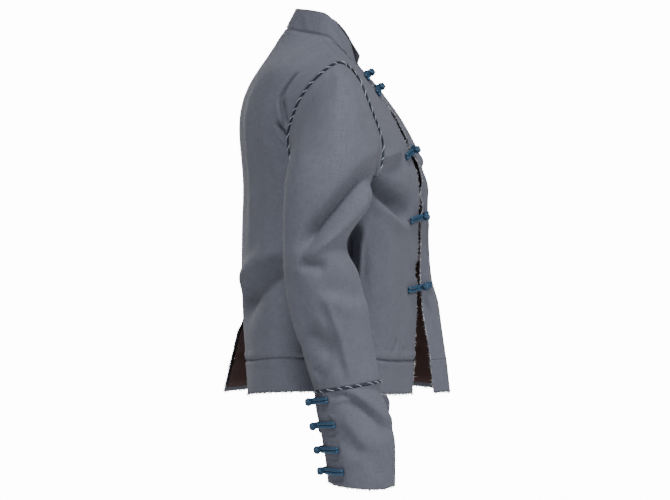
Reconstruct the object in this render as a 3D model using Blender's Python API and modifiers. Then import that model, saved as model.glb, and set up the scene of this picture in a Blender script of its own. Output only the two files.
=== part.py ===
"""A short military jacket, empty and filled out: grey-blue cotton, stand collar, cord frogs.

The jacket faces -Y, the wearer's right side is -X and +Z is up. The origin is the middle of
the neck, level with the two neck points of the shoulder seams. Sizes are in millimetres and
become metres when a mesh is written.
"""
import math

import bmesh
import bpy
from mathutils import Vector

MM = 0.001
RIGHT = -1
LEFT = 1
SIDES = {"right": RIGHT, "left": LEFT}

# Walls and gaps
CLOTH_WALL = 1.4
COLLAR_WALL = 2.0
LINING_WALL = 1.0
LINING_DEPTH = 3.0
LINING_INSET = 0.015
SEAM_GAP = 0.3
COLLAR_SEAM_GAP = 0.8
SHOULDER_GAP = 2.2

# Edges of the body
HEM_SIDE_Z = -521.0
HEM_DIP = 9.0
BAND_HEIGHT = 49.0
LINING_ABOVE_HEM = 24.0
FRONT_EDGE_X = 5.0
PIT_Z = -37.0
NECK_POINT_X = 65.0
BACK_NECK_Z = 15.0
COLLAR_RISE = 33.0
COLLAR_CENTRE_Y = 5.0
VENT_TOP_Z = -425.0

# Cords
PIPING_RADIUS = 1.8
PIPING_OFFSET = 2.4
SLEEVE_OFFSET = 5.4
FROG_RADIUS = 2.5
LOOP_CLEARANCE = 0.6
FRONT_LOOP = 44.0
TAIL_CLEARANCE = 0.195
TAIL_LENGTH = 26.0
TAIL_FLAT_SHARE = 0.68
TAIL_DROP = 1.6
KNOT_RADIUS = 5.6
KNOT_OFFSET = 1.96
KNOT_SEGMENTS = 11
KNOT_RINGS = 7

# Grid lines of the cloth
PANEL_COLUMNS = 9
NECK_COLUMNS = 4
CENTRE_CROWDING = 1.45
ROW_SAG = 80.0
SEAM_ROWS = 8
ARMHOLE_ROWS = 8
SLEEVE_COLUMNS = 2 * ARMHOLE_ROWS
CAP_ROWS = 5
CAP_FULLNESS = 0.75
CAP_FALL = 0.25
ARM_ROWS = 10
HEM_ROWS = 2
COLLAR_ROWS = 2
CUFF_ROWS = 4

# Steps at which a surface's directions are read
TURN_STEP = 0.02
AROUND_STEP = 0.01
Z_STEP = 3.0

# Level sections of the body: half width, the Y of its widest, front and back points, and how
# square the front and back halves are (2 is an ellipse)
BODY = [
    # z, half_width, middle_y, front_y, back_y, front_power, back_power
    (-540, 174, -14, -131, 117, 2.2, 2.2),
    (-475, 170, -13, -134, 119, 2.2, 2.2),
    (-425, 167, -13, -137, 123, 2.2, 2.2),
    (-339, 168, -14, -139, 125, 2.3, 2.3),
    (-264, 173, -17, -140, 124, 2.4, 2.3),
    (-219, 177, -20, -138, 122, 2.6, 2.4),
    (-170, 181, -27, -126, 126, 3.0, 2.5),
    (-130, 186, -34, -108, 129, 3.6, 2.6),
    (-99, 190, -38, -91, 125, 4.2, 2.6),
    (-69, 192, -40, -69, 113, 4.4, 2.5),
    (-46, 190, -39, -53, 98, 3.2, 2.3),
    (-20, 119, -18, -32, 83, 2.2, 2.1),
    (0, 65, -2, -17, 72, 2.0, 2.0),
    (20, 40, 14, -3, 57, 2.0, 2.0),
]

# How far the fronts swing: the right one falls back from its edge, the left one swells out
FRONT_SWING = [
    # z, right_back, left_forward, left_edge_forward
    (-540, 42, 150, 29),
    (-475, 44, 140, 19),
    (-400, 46, 122, 4),
    (-330, 48, 88, 0),
    (-200, 46, 56, 2),
    (-110, 24, 24, 0),
    (-60, 0, 0, 0),
]

# How far the two vent edges stand apart and how far the left flap kicks out
VENT = [
    # z, right_edge_x, left_edge_x, left_kick
    (-540, 4, 13, 42),
    (-475, 3, 9, 21),
    (VENT_TOP_Z, SEAM_GAP, SEAM_GAP, 1),
    (-380, SEAM_GAP, SEAM_GAP, 0),
]

# The collar from its front end (0) to centre back (1)
COLLAR = [
    # share, height, lean
    (0.00, 33, 9),
    (0.35, 35, 9),
    (0.55, 38, 10),
    (0.75, 36, 14),
    (1.00, 33, 17),
]

# The armhole round the arm, from the shoulder tip forward, under and back up
ARMHOLE = [
    # around, y, z
    (-0.08, 1, -74),
    (0.00, -39, -46),
    (0.08, -66, -70),
    (0.16, -86, -112),
    (0.25, -106, -168),
    (0.33, -98, -203),
    (0.42, -60, -219),
    (0.50, -20, -221),
    (0.58, 12, -212),
    (0.67, 34, -186),
    (0.75, 38, -154),
    (0.84, 27, -114),
    (0.92, 1, -74),
    (1.00, -39, -46),
    (1.08, -66, -70),
]

# Rings of the sleeve below the cap; tilt is the rise for each millimetre back
SLEEVE = [
    # z, centre_x, centre_y, half_x, half_y, tilt
    (-236, 235, -25, 47, 62, 0.10),
    (-272, 237, -15, 45, 53, 0.16),
    (-309, 237, -8, 43, 46, 0.02),
    (-349, 234, -17, 45, 53, -0.10),
    (-398, 231, -28, 45, 55, -0.13),
    (-445, 228, -38, 44, 51, -0.15),
    (-477, 226, -46, 43, 49, -0.16),
    (-508.5, 225, -54, 43, 47, -0.16),
]

# Rings of the cuff, which flares a little and closes at the back
CUFF = [
    # z, centre_x, centre_y, half_x, half_y, tilt
    (-513, 225, -55, 43.5, 48, -0.16),
    (-545, 224, -63, 45, 52.5, -0.10),
    (-588, 222, -70, 45, 52, 0.00),
    (-626, 220, -73, 44, 49, 0.05),
    (-654, 219, -74, 43, 47, 0.06),
]
CUFF_OPENING = 0.80
CUFF_EDGE_GAP = 0.012
CUFF_MEAN_RADIUS = 49.0

# The left arm bends forward less, so its rings lie further back
LEFT_ARM_BACK = [
    # z, back
    (-654, 42),
    (-508, 32),
    (-309, 6),
    (-236, 0),
]

# Frogs down the front and up the back of each cuff
FRONT_FROGS = [
    # z, rise
    (-56, 6),
    (-78, 7),
    (-170, 9),
    (-267, 6),
    (-372, 4),
]
CUFF_FROGS = [
    # z, loop length
    (-525, 33),
    (-562, 37),
    (-600, 36),
    (-632, 40),
]

COLOURS = {
    # linear red, green, blue and roughness
    "cotton": ((0.150, 0.162, 0.196), 0.80),
    "lining": ((0.018, 0.010, 0.010), 0.55),
    "piping": ((0.060, 0.075, 0.110), 0.70),
    "frog": ((0.026, 0.051, 0.074), 0.50),
}


def smooth(rows, column, at):
    """Read a table at a height, smoothly and without overshoot."""
    keys = [row[0] for row in rows]
    values = [row[column] for row in rows]
    if keys[0] > keys[-1]:
        keys.reverse()
        values.reverse()
    at = min(max(at, keys[0]), keys[-1])
    cell = max(i for i in range(len(keys) - 1) if keys[i] <= at)
    steps = [(values[i + 1] - values[i]) / (keys[i + 1] - keys[i]) for i in range(len(keys) - 1)]

    def slope(i):
        if i == 0 or i == len(keys) - 1:
            return steps[min(i, len(steps) - 1)]
        before, after = steps[i - 1], steps[i]
        if before * after <= 0:
            return 0.0
        return 2 * before * after / (before + after)

    span = keys[cell + 1] - keys[cell]
    t = (at - keys[cell]) / span
    low, high = values[cell], values[cell + 1]
    rise_low, rise_high = slope(cell) * span, slope(cell + 1) * span
    return (low * (1 + 2 * t) * (1 - t) ** 2 + rise_low * t * (1 - t) ** 2
            + high * t * t * (3 - 2 * t) + rise_high * t * t * (t - 1))


def body_point(side, turn, z):
    """The jacket's outer form at a turn from centre front (0) round to centre back (pi)."""
    half_width, middle, front, back = (smooth(BODY, c, z) for c in range(1, 5))
    c, s = math.cos(turn), math.sin(turn)
    reach = front - middle if c > 0 else back - middle
    power = smooth(BODY, 5 if c > 0 else 6, z)
    x = half_width * abs(s) ** (2 / power)
    y = middle + reach * abs(c) ** (2 / power)
    if c > 0:
        swing = s * c ** 4
        if side == RIGHT:
            y += smooth(FRONT_SWING, 1, z) * swing
        else:
            y -= smooth(FRONT_SWING, 2, z) * swing + smooth(FRONT_SWING, 3, z) * c ** 8
    elif side == LEFT:
        y += smooth(VENT, 3, z) * c ** 8
    return Vector((side * x, y, z))


def turn_at_x(back, x, z):
    """The turn from the nearer centre line at which the form is x wide at height z."""
    share = min(abs(x) / smooth(BODY, 1, z), 1.0)
    return math.asin(share ** (smooth(BODY, 6 if back else 5, z) / 2))


def turn_at_y(y, z):
    """The turn from centre front at which the plain form has this y at height z."""
    middle = smooth(BODY, 2, z)
    reach = middle - smooth(BODY, 3, z) if y < middle else smooth(BODY, 4, z) - middle
    c = min(abs(y - middle) / reach, 1.0) ** (smooth(BODY, 5 if y < middle else 6, z) / 2)
    return math.acos(c) if y < middle else math.pi - math.acos(c)


def quarter_length(back, z):
    """Roughly a quarter of the girth at height z, the scale of a flat pattern piece."""
    reach = smooth(BODY, 4 if back else 3, z) - smooth(BODY, 2, z)
    return math.pi / 2 * math.sqrt((smooth(BODY, 1, z) ** 2 + reach ** 2) / 2)


def hem_z(turn):
    """The hem dips at centre front and centre back."""
    return HEM_SIDE_Z - HEM_DIP * math.cos(turn) ** 2


def centre_x(side, back, z):
    """Half the gap between the two edges at centre front or centre back."""
    if not back:
        return FRONT_EDGE_X
    return smooth(VENT, 1 if side == RIGHT else 2, z)


def neckline(back, share):
    """Flat position (x, z) along the neckline, from the centre line (0) to the neck point (1)."""
    angle = share * math.pi / 2
    if back:
        z = BACK_NECK_Z * math.cos(angle)
        return smooth(BODY, 1, z) * math.sin(angle), z
    return (FRONT_EDGE_X + (NECK_POINT_X - FRONT_EDGE_X) * math.sin(angle),
            PIT_Z * math.cos(angle))


def flat(back, turn_from_centre, z):
    """A point of the flat pattern piece: distance from the centre line, and height."""
    return turn_from_centre / (math.pi / 2) * quarter_length(back, z), z


def panel_point(side, back, u, v, bottom, depth=0.0):
    """A front or back panel, u from the centre line to the side and v from the hem up."""
    split_v = SEAM_ROWS / (SEAM_ROWS + ARMHOLE_ROWS)
    split_u = (NECK_COLUMNS / PANEL_COLUMNS) ** CENTRE_CROWDING
    armpit_z = smooth(ARMHOLE, 2, 0.5)

    def low(u):
        turn = u * math.pi / 2
        z = bottom(math.pi - turn if back else turn)
        start = turn_at_x(back, centre_x(side, back, z), z)
        return flat(back, start + u * (math.pi / 2 - start), z)

    def high(u):
        if u < split_u:
            x, z = neckline(back, (u / split_u) ** (1 / CENTRE_CROWDING))
            return flat(back, turn_at_x(back, max(x, centre_x(side, back, z)), z), z)
        tip_z = smooth(ARMHOLE, 2, 0.0)
        return flat(back, math.pi / 2, tip_z * (u - split_u) / (1 - split_u))

    def inner(v):
        start, end = low(0)[1], high(0)[1]
        middle = armpit_z - ROW_SAG
        z = start + (middle - start) * v / split_v
        if v > split_v:
            z = middle + (end - middle) * (v - split_v) / (1 - split_v)
        return flat(back, turn_at_x(back, centre_x(side, back, z), z), z)

    def outer(v):
        if v < split_v:
            start = low(1)[1]
            return flat(back, math.pi / 2, start + (armpit_z - start) * v / split_v)
        quarter = 0.5 * (1 - (v - split_v) / (1 - split_v))
        around = 1 - quarter if back else quarter
        y, z = smooth(ARMHOLE, 1, around), smooth(ARMHOLE, 2, around)
        turn = turn_at_y(y, z)
        return flat(back, math.pi - turn if back else turn, z)

    def blend(axis):
        corners = ((1 - u) * (1 - v) * low(0)[axis] + u * (1 - v) * low(1)[axis]
                   + (1 - u) * v * high(0)[axis] + u * v * high(1)[axis])
        return ((1 - u) * inner(v)[axis] + u * outer(v)[axis]
                + (1 - v) * low(u)[axis] + v * high(u)[axis] - corners)

    across, z = blend(0), blend(1)
    gap = SHOULDER_GAP if z > smooth(ARMHOLE, 2, 0.0) - SHOULDER_GAP else SEAM_GAP
    across = min(across, quarter_length(back, z) - gap / 2)
    turn = across / quarter_length(back, z) * math.pi / 2
    if back:
        turn = math.pi - turn
    point = body_point(side, turn, z)
    if depth:
        point -= body_normal(side, turn, z) * depth
    return point


def body_normal(side, turn, z):
    """The outward direction of the body form."""
    ahead, behind = min(turn + TURN_STEP, math.pi), max(turn - TURN_STEP, 0)
    along = body_point(side, ahead, z) - body_point(side, behind, z)
    up = body_point(side, turn, z + Z_STEP) - body_point(side, turn, z - Z_STEP)
    normal = along.cross(up) if side == RIGHT else up.cross(along)
    return -normal.normalized()


def armhole_point(side, around):
    around %= 1.0
    z = smooth(ARMHOLE, 2, around)
    return body_point(side, turn_at_y(smooth(ARMHOLE, 1, around), z), z)


def armhole_way(side, around):
    """The way the sleeve sets out: square to the armhole's edge, and out to the side."""
    edge = armhole_point(side, around + TURN_STEP) - armhole_point(side, around - TURN_STEP)
    z = smooth(ARMHOLE, 2, around)
    out = body_normal(side, turn_at_y(smooth(ARMHOLE, 1, around), z), z)
    square = edge.cross(out).normalized() * -side
    square.z = min(square.z, 0)
    return (square + Vector((side, 0, -CAP_FALL))).normalized()


def ring_point(side, rows, z, around):
    cx, cy, hx, hy, tilt = (smooth(rows, c, z) for c in range(1, 6))
    if side == LEFT:
        cy += smooth(LEFT_ARM_BACK, 1, z)
    angle = around * 2 * math.pi
    y = cy - hy * math.sin(angle)
    return Vector((side * (cx + hx * math.cos(angle)), y, z + tilt * (y - cy)))


def sleeve_point(side, around, along):
    """A sleeve: the cap curves out of the armhole, then rings follow the bent arm."""
    share = CAP_ROWS / (CAP_ROWS + ARM_ROWS)
    top_z, end_z = SLEEVE[0][0], SLEEVE[-1][0]
    if along >= share:
        z = top_z + (end_z - top_z) * (along - share) / (1 - share)
        return ring_point(side, SLEEVE, z, around)
    t = along / share
    way = armhole_way(side, around)
    start = armhole_point(side, around) + way * SLEEVE_OFFSET
    end = ring_point(side, SLEEVE, top_z, around)
    reach = (end - start).length
    fall = ring_point(side, SLEEVE, top_z - 10, around) - end
    go = way * reach * CAP_FULLNESS
    come = fall.normalized() * reach
    return (start * ((1 + 2 * t) * (1 - t) ** 2) + go * (t * (1 - t) ** 2)
            + end * (t * t * (3 - 2 * t)) + come * (t * t * (t - 1)))


def cuff_point(side, u, v):
    """A cuff: u runs once round from one edge of the back opening to the other."""
    around = CUFF_OPENING + CUFF_EDGE_GAP / 2 + u * (1 - CUFF_EDGE_GAP)
    z = CUFF[0][0] + (CUFF[-1][0] - CUFF[0][0]) * v
    return ring_point(side, CUFF, z, around % 1.0)


def collar_point(u, v):
    """The stand collar, u from its right end round the back to its left end."""
    side = RIGHT if u < 0.5 else LEFT
    from_end = 1 - abs(2 * u - 1)
    back = from_end > 0.5
    share = 2 * (1 - from_end) if back else 2 * from_end
    x, z = neckline(back, share)
    turn = turn_at_x(back, x, z)
    base = body_point(side, math.pi - turn if back else turn, z)
    inward = Vector((-base.x, COLLAR_CENTRE_Y - base.y, 0)).normalized()
    way = (inward * smooth(COLLAR, 2, from_end) + Vector((0, 0, COLLAR_RISE))).normalized()
    return base + way * (COLLAR_SEAM_GAP + v * smooth(COLLAR, 1, from_end))


def material(name):
    made = bpy.data.materials.get(name)
    if made:
        return made
    made = bpy.data.materials.new(name)
    made.use_nodes = True
    colour, rough = COLOURS[name]
    shader = made.node_tree.nodes["Principled BSDF"]
    shader.inputs["Base Color"].default_value = (*colour, 1)
    shader.inputs["Roughness"].default_value = rough
    made.diffuse_color = (*colour, 1)
    return made


def place(name, data, finish, home="military_jacket"):
    data.materials.append(material(finish))
    thing = bpy.data.objects.new(name, data)
    bpy.data.collections[home].objects.link(thing)
    return thing


def shell(name, surface, columns, rows, wall, finish, flip=False, tube=False, crowding=1.0):
    """A cloth wall: a grid bent onto a surface of (u, v), then given its thickness inward."""
    bm = bmesh.new()
    bmesh.ops.create_grid(bm, x_segments=columns, y_segments=rows, size=0.5)
    for vert in bm.verts:
        vert.co = surface((vert.co.x + 0.5) ** crowding, vert.co.y + 0.5) * MM
    if tube:
        bmesh.ops.remove_doubles(bm, verts=bm.verts, dist=0.01 * MM)
    if flip:
        bmesh.ops.reverse_faces(bm, faces=bm.faces)
    mesh = bpy.data.meshes.new(name)
    bm.to_mesh(mesh)
    bm.free()
    mesh.shade_smooth()
    thing = place(name, mesh, finish)
    solid = thing.modifiers.new("wall", "SOLIDIFY")
    solid.thickness = wall * MM
    solid.offset = -1
    return thing


def cord(name, points, radius, finish, closed=False, home="military_jacket"):
    """A round cord along its points."""
    curve = bpy.data.curves.new(name, "CURVE")
    curve.dimensions = "3D"
    curve.bevel_depth = radius * MM
    curve.bevel_resolution = 1
    curve.use_fill_caps = not closed
    line = curve.splines.new("POLY")
    line.points.add(len(points) - 1)
    for knot, point in zip(line.points, points):
        knot.co = (*(point * MM), 1)
    line.use_cyclic_u = closed
    return place(name, curve, finish, home)


def hairpin(length, half_gap, bend_points=5):
    """A flat hairpin (along, across): out on one side, round the bend and back on the other."""
    out = [(length * share, half_gap) for share in (0.0, 0.35, 0.7)]
    bend = []
    for i in range(bend_points):
        angle = math.pi * i / (bend_points - 1)
        bend.append((length + half_gap * math.sin(angle), half_gap * math.cos(angle)))
    home = [(along, -across) for along, across in reversed(out)]
    return out + bend + home


def frog(name, lay, loop_length):
    """A loop and its ball knot; lay(along, across, height) puts a point on the cloth."""
    half_gap = FROG_RADIUS + SEAM_GAP / 2
    rest = FROG_RADIUS + LOOP_CLEARANCE
    lie = FROG_RADIUS + TAIL_CLEARANCE
    pin = hairpin(loop_length - half_gap, half_gap)
    loop = [lay(along - loop_length, across, rest) for along, across in pin]
    cord(name + "_loop", loop, FROG_RADIUS, "frog")
    ball_height = 2 * rest + KNOT_RADIUS
    bm = bmesh.new()
    bmesh.ops.create_uvsphere(bm, u_segments=KNOT_SEGMENTS, v_segments=KNOT_RINGS, radius=KNOT_RADIUS * MM)
    bmesh.ops.translate(bm, verts=bm.verts, vec=lay(KNOT_OFFSET, 0, ball_height) * MM)
    mesh = bpy.data.meshes.new(name + "_knot")
    bm.to_mesh(mesh)
    bm.free()
    mesh.shade_smooth()
    knot = place(name + "_knot", mesh, "frog")
    tail = []
    for along, across in hairpin(TAIL_LENGTH, half_gap):
        drop = max((along / TAIL_LENGTH - TAIL_FLAT_SHARE) / (1 - TAIL_FLAT_SHARE), 0)
        drop = min(drop, 1)
        height = lie + (ball_height - TAIL_DROP - lie) * drop
        tail.append(lay(KNOT_OFFSET + FROG_RADIUS + TAIL_LENGTH - along, across, height))
    line = cord(name + "_tail", tail, FROG_RADIUS, "frog", home="cutters")
    bpy.context.view_layer.update()
    solid = bpy.data.meshes.new_from_object(line.evaluated_get(bpy.context.evaluated_depsgraph_get()))
    bm = bmesh.new()
    bm.from_mesh(solid)
    bmesh.ops.remove_doubles(bm, verts=bm.verts, dist=0.01 * MM)
    bm.to_mesh(solid)
    bm.free()
    bpy.data.objects.remove(line)
    cutter = bpy.data.objects.new(name + "_tail_mesh", solid)
    bpy.data.collections["cutters"].objects.link(cutter)
    cutter.hide_render = True
    cutter.display_type = "WIRE"
    join = knot.modifiers.new("tails", "BOOLEAN")
    join.operation = "UNION"
    join.object = cutter


def front_lay(z, rise):
    """Lay a frog across the front: along runs from the right front over to the left."""
    def lay(along, across, height):
        x = along
        side = RIGHT if x < 0 else LEFT
        level = z + across + rise * along / FRONT_LOOP
        turn = turn_at_x(False, x, level)
        return body_point(side, turn, level) + body_normal(side, turn, level) * height
    return lay


def cuff_lay(side, z):
    """Lay a frog over a cuff's back opening: along runs backward to the far side."""
    girth = 2 * math.pi * CUFF_MEAN_RADIUS

    def lay(along, across, height):
        around = (CUFF_OPENING - along / girth) % 1.0
        point = ring_point(side, CUFF, z + across, around)
        ahead = ring_point(side, CUFF, z + across, (around + AROUND_STEP) % 1.0)
        above = ring_point(side, CUFF, z + across + Z_STEP, around)
        out = (ahead - point).cross(above - point) * -side
        return point + out.normalized() * height
    return lay


def band_top(turn):
    return hem_z(turn) + BAND_HEIGHT


def lining_bottom(turn):
    return hem_z(turn) + LINING_ABOVE_HEM


def build_body():
    for label, side in SIDES.items():
        for face in ("front", "back"):
            back = face == "back"
            turned = (side == RIGHT) != back
            rows = SEAM_ROWS + ARMHOLE_ROWS

            def panel(u, v):
                return panel_point(side, back, u, v, band_top)

            def band(u, v):
                top = panel_point(side, back, u, 0, lambda t: band_top(t) - SEAM_GAP)
                end = panel_point(side, back, u, 0, hem_z)
                z = end.z + (top.z - end.z) * v
                return panel_point(side, back, u, 0, lambda t: hem_z(t) + (z - end.z))

            def lining(u, v):
                u = min(max(u, LINING_INSET), 1 - LINING_INSET)
                return panel_point(side, back, u, v * (rows - 1) / rows, lining_bottom, LINING_DEPTH)

            shell(f"{face}_{label}", panel, PANEL_COLUMNS, rows, CLOTH_WALL, "cotton", turned,
                  crowding=CENTRE_CROWDING)
            shell(f"hem_{face}_{label}", band, PANEL_COLUMNS, HEM_ROWS, CLOTH_WALL, "cotton", turned,
                  crowding=CENTRE_CROWDING)
            shell(f"lining_{face}_{label}", lining, PANEL_COLUMNS, rows - 1, LINING_WALL, "lining", turned,
                  crowding=CENTRE_CROWDING)


def build_collar():
    shell("collar", collar_point, 4 * NECK_COLUMNS, COLLAR_ROWS, COLLAR_WALL, "cotton", flip=True)


def build_sleeves():
    for label, side in SIDES.items():
        rows = CAP_ROWS + ARM_ROWS
        shell(f"sleeve_{label}", lambda u, v: sleeve_point(side, u % 1.0, v), SLEEVE_COLUMNS, rows,
              CLOTH_WALL, "cotton", side == RIGHT, tube=True)
        shell(f"cuff_{label}", lambda u, v: cuff_point(side, u, v), SLEEVE_COLUMNS, CUFF_ROWS,
              CLOTH_WALL, "cotton", side == RIGHT)
        turns = [i / SLEEVE_COLUMNS for i in range(SLEEVE_COLUMNS)]
        ring = [armhole_point(side, a) + armhole_way(side, a) * PIPING_OFFSET for a in turns]
        cord(f"piping_armhole_{label}", ring, PIPING_RADIUS, "piping", closed=True)
        middle_z = (SLEEVE[-1][0] + CUFF[0][0]) / 2
        ring = [ring_point(side, CUFF, middle_z, i / SLEEVE_COLUMNS) for i in range(SLEEVE_COLUMNS)]
        cord(f"piping_cuff_{label}", ring, PIPING_RADIUS, "piping", closed=True)
        for number, (z, loop_length) in enumerate(CUFF_FROGS, 1):
            frog(f"cuff_{label}_frog_{number}", cuff_lay(side, z), loop_length)


def build_front_frogs():
    for number, (z, rise) in enumerate(FRONT_FROGS, 1):
        frog(f"front_frog_{number}", front_lay(z, rise), FRONT_LOOP)


for old in list(bpy.data.objects):
    bpy.data.objects.remove(old)
for home in ("military_jacket", "cutters"):
    collection = bpy.data.collections.new(home)
    bpy.context.scene.collection.children.link(collection)
build_body()
build_collar()
build_sleeves()
build_front_frogs()
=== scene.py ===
import math

import bmesh
import bpy
import numpy as np
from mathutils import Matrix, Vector


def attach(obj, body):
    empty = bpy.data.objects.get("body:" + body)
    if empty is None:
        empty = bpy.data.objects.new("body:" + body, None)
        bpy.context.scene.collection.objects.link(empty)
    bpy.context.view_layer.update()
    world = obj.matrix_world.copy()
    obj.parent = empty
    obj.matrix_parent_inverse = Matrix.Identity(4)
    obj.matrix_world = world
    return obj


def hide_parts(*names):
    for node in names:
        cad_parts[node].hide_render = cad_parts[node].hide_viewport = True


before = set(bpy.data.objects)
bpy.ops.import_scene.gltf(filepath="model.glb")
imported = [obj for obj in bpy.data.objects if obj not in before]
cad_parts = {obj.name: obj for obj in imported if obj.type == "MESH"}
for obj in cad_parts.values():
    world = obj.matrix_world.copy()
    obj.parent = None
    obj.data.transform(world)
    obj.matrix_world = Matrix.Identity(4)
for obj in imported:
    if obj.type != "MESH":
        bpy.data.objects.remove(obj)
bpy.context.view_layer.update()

# Fronts and backs: four cotton panels, cut to the body's form and sewn at the sides and shoulders. The
# fronts meet edge to edge under the frogs, and the backs are left open as a vent below the waist. All
# sizes are in millimetres on the part's own frame.
MM = 0.001
RIGHT, LEFT = -1, 1
SIDES = (("right", RIGHT), ("left", LEFT))
CLOTH_WALL = 1.2
FRONT_EDGE_X = 5
PIT_Z = -37
NECK_POINT_X = 65
BACK_NECK_Z = 15
HEM_SIDE_Z = -521
HEM_DIP = 9
BAND_HEIGHT = 49
PANEL_COLUMNS = 131
PANEL_ROWS = 160
CENTRE_CROWDING = 1.45
NECK_SHARE = 4 / 9
ROW_SAG = 80

BODY = [
    # z, half_width, middle_y, front_y, back_y, front_power, back_power
    (-540, 174, -14, -131, 117, 2.2, 2.2),
    (-475, 170, -13, -134, 119, 2.2, 2.2),
    (-425, 167, -13, -137, 123, 2.2, 2.2),
    (-339, 168, -14, -139, 125, 2.3, 2.3),
    (-264, 173, -17, -140, 124, 2.4, 2.3),
    (-219, 177, -20, -138, 122, 2.6, 2.4),
    (-170, 181, -27, -126, 126, 3.0, 2.5),
    (-130, 186, -34, -108, 129, 3.6, 2.6),
    (-99, 190, -38, -91, 125, 4.2, 2.6),
    (-69, 192, -40, -69, 113, 4.4, 2.5),
    (-46, 190, -39, -53, 98, 3.2, 2.3),
    (-20, 119, -18, -32, 83, 2.2, 2.1),
    (0, 65, -2, -17, 72, 2.0, 2.0),
    (20, 40, 14, -3, 57, 2.0, 2.0),
]
FRONT_SWING = [
    # z, right_back, left_forward, left_edge_forward
    (-540, 42, 150, 29),
    (-475, 44, 140, 19),
    (-400, 46, 122, 4),
    (-330, 48, 88, 0),
    (-200, 46, 56, 2),
    (-110, 24, 24, 0),
    (-60, 0, 0, 0),
]
VENT = [
    # z, right_edge_x, left_edge_x, left_kick
    (-540, 4, 13, 42),
    (-475, 3, 9, 25),
    (-440, 2, 4, 13),
    (-416, 0.3, 0.3, 1),
    (-380, 0.3, 0.3, 0),
]
ARMHOLE = [
    # around, y, z
    (-0.08, 1, -74),
    (0.00, -39, -46),
    (0.08, -66, -70),
    (0.16, -86, -112),
    (0.25, -106, -168),
    (0.33, -98, -203),
    (0.42, -60, -219),
    (0.50, -20, -221),
    (0.58, 12, -212),
    (0.67, 34, -186),
    (0.75, 38, -154),
    (0.84, 27, -114),
    (0.92, 1, -74),
    (1.00, -39, -46),
    (1.08, -66, -70),
]


def smooth(rows, column, at):
    """Read a column of a table at many places, smoothly and without overshoot."""
    table = np.array(sorted(rows), float)
    keys, values = table[:, 0], table[:, column]
    span = np.diff(keys)
    steps = np.diff(values) / span
    before, after = steps[:-1], steps[1:]
    same = before * after > 0
    middle = np.where(same, 2 * before * after / np.where(same, before + after, 1), 0)
    slopes = np.concatenate([steps[:1], middle, steps[-1:]])
    at = np.clip(at, keys[0], keys[-1])
    cell = np.clip(np.searchsorted(keys, at, side="right") - 1, 0, len(span) - 1)
    t = (at - keys[cell]) / span[cell]
    low, high = values[cell], values[cell + 1]
    rise_low, rise_high = slopes[cell] * span[cell], slopes[cell + 1] * span[cell]
    return (low * (1 + 2 * t) * (1 - t) ** 2 + rise_low * t * (1 - t) ** 2
            + high * t * t * (3 - 2 * t) + rise_high * t * t * (t - 1))


def body_form(side, turn, z):
    """The jacket's form at a turn from centre front (0) round to centre back (pi)."""
    half_width, middle, front, back = (smooth(BODY, c, z) for c in range(1, 5))
    c, s = np.cos(turn), np.sin(turn)
    ahead = c > 0
    reach = np.where(ahead, front, back) - middle
    power = np.where(ahead, smooth(BODY, 5, z), smooth(BODY, 6, z))
    x = half_width * np.abs(s) ** (2 / power)
    y = middle + reach * np.abs(c) ** (2 / power)
    swing = s * c ** 4
    if side == RIGHT:
        y = y + np.where(ahead, smooth(FRONT_SWING, 1, z) * swing, 0)
    else:
        pull = smooth(FRONT_SWING, 2, z) * swing + smooth(FRONT_SWING, 3, z) * c ** 8
        y = y + np.where(ahead, -pull, smooth(VENT, 3, z) * c ** 8)
    return np.stack([side * x, y, z + 0 * x], axis=-1)


def unit(ways):
    return ways / np.maximum(np.linalg.norm(ways, axis=-1, keepdims=True), 1e-9)


def body_normal(side, turn, z):
    step, rise = 0.02, 3
    along = body_form(side, np.minimum(turn + step, math.pi), z)
    along = along - body_form(side, np.maximum(turn - step, 0), z)
    up = body_form(side, turn, z + rise) - body_form(side, turn, z - rise)
    return unit(np.cross(along, up)) * side


def turn_at_x(back, x, z):
    share = np.minimum(np.abs(x) / smooth(BODY, 1, z), 1)
    return np.arcsin(share ** (smooth(BODY, 6 if back else 5, z) / 2))


def turn_at_y(y, z):
    middle = smooth(BODY, 2, z)
    ahead = y < middle
    reach = np.where(ahead, middle - smooth(BODY, 3, z), smooth(BODY, 4, z) - middle)
    power = np.where(ahead, smooth(BODY, 5, z), smooth(BODY, 6, z))
    c = np.minimum(np.abs(y - middle) / reach, 1) ** (power / 2)
    return np.where(ahead, np.arccos(c), math.pi - np.arccos(c))


def quarter_length(back, z):
    reach = smooth(BODY, 4 if back else 3, z) - smooth(BODY, 2, z)
    return math.pi / 2 * np.sqrt((smooth(BODY, 1, z) ** 2 + reach ** 2) / 2)


def hem_z(turn):
    return HEM_SIDE_Z - HEM_DIP * np.cos(turn) ** 2


def band_top(turn):
    return hem_z(turn) + BAND_HEIGHT


def centre_x(side, back, z):
    if back:
        return smooth(VENT, 1 if side == RIGHT else 2, z)
    return FRONT_EDGE_X + 0 * z


def neckline(back, share):
    angle = share * math.pi / 2
    if back:
        z = BACK_NECK_Z * np.cos(angle)
        return smooth(BODY, 1, z) * np.sin(angle), z
    return FRONT_EDGE_X + (NECK_POINT_X - FRONT_EDGE_X) * np.sin(angle), PIT_Z * np.cos(angle)


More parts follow.
